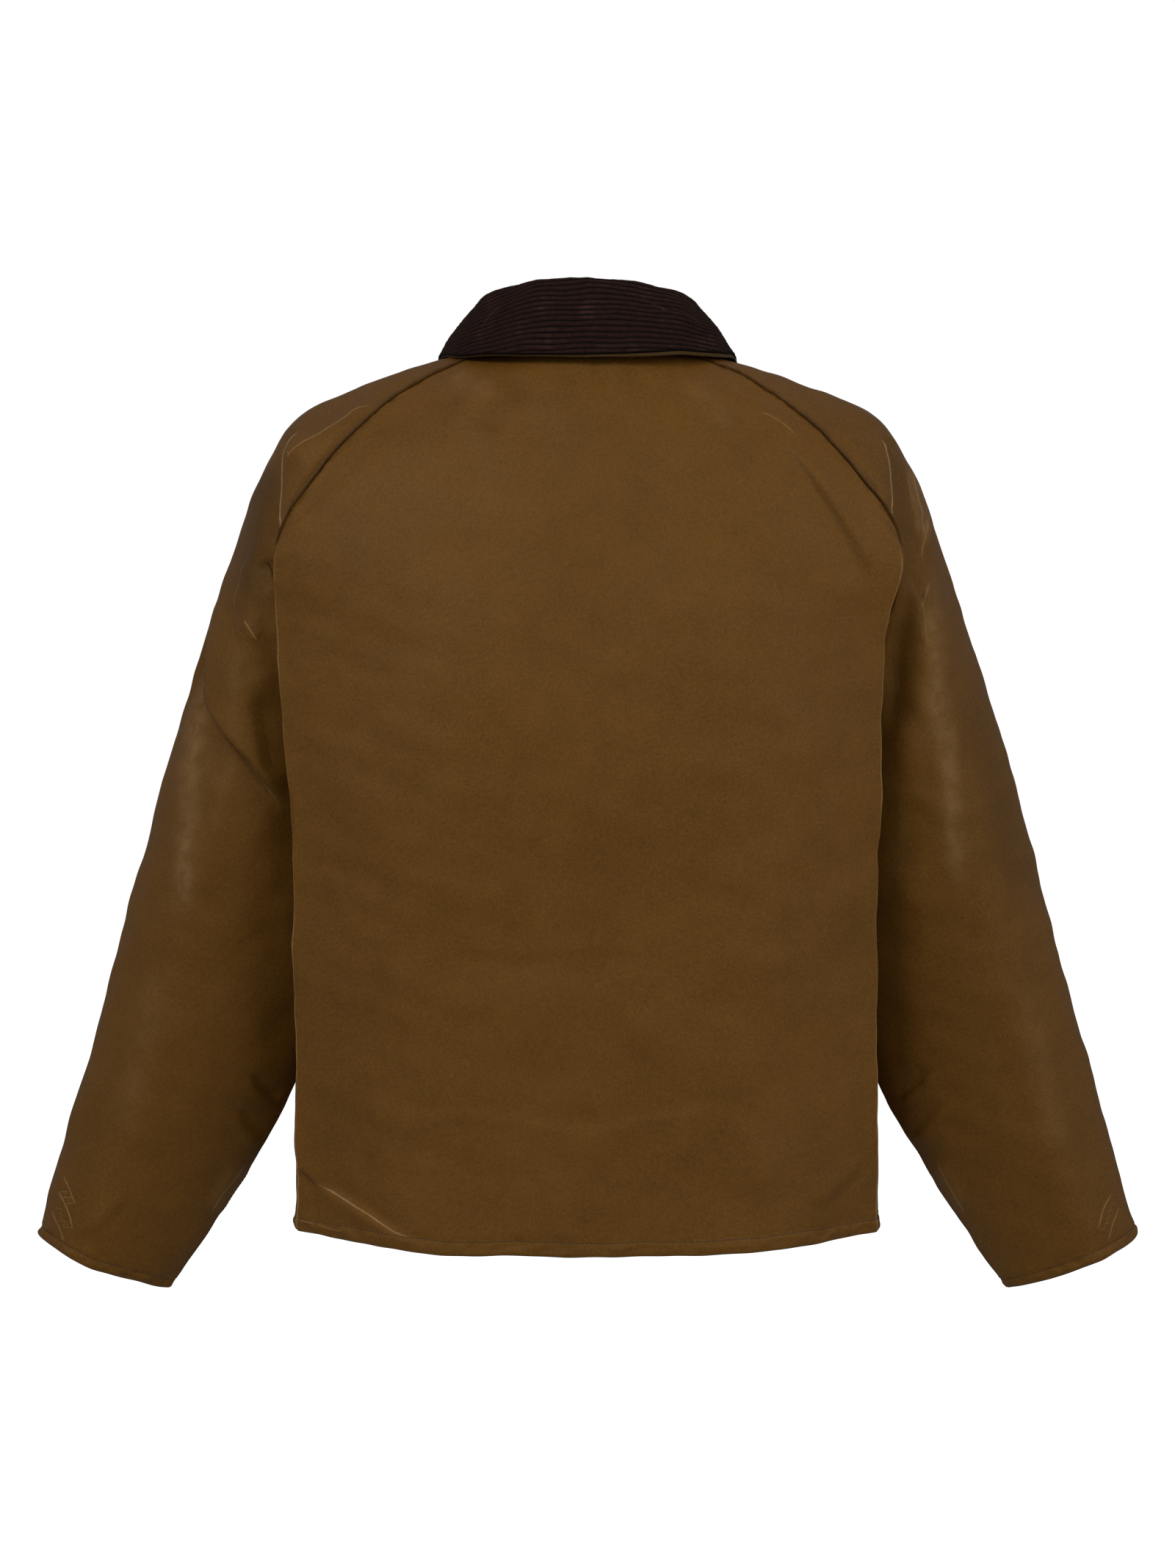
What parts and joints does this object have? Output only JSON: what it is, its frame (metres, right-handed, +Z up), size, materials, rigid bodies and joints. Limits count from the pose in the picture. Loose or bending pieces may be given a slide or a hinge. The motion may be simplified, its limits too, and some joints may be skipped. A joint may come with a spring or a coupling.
{
  "type": "waxed cotton jacket",
  "caption": "Raglan-sleeved waxed cotton jacket with a turned-down corduroy collar, closed in front and filled out as when worn, open at neck, hem and cuffs.",
  "frame": {"origin": "middle of the neck opening, level with the neck seam at centre back, where the wearer's neck and shoulders hold the jacket", "axes": "+Z up the wearer's spine, +Y out of the back of the jacket, -Y out of its front, +X to the wearer's left"},
  "size_m": [0.864, 0.2621, 0.7811],
  "materials": {
    "waxed_cotton": "waxed, satin",
    "corduroy": "ribbed pile, matt",
    "stud_metal": "aged"
  },
  "bodies": {
    "root": {"back": "waxed_cotton", "front_left": "waxed_cotton", "front_right": "waxed_cotton", "sleeve_left": "waxed_cotton", "sleeve_right": "waxed_cotton", "collar_top": "corduroy", "collar_under": "waxed_cotton", "placket": "waxed_cotton", "stud_1": "stud_metal", "stud_2": "stud_metal", "stud_3": "stud_metal", "stud_4": "stud_metal", "stud_5": "stud_metal", "stud_6": "stud_metal"}
  },
  "joints": []
}
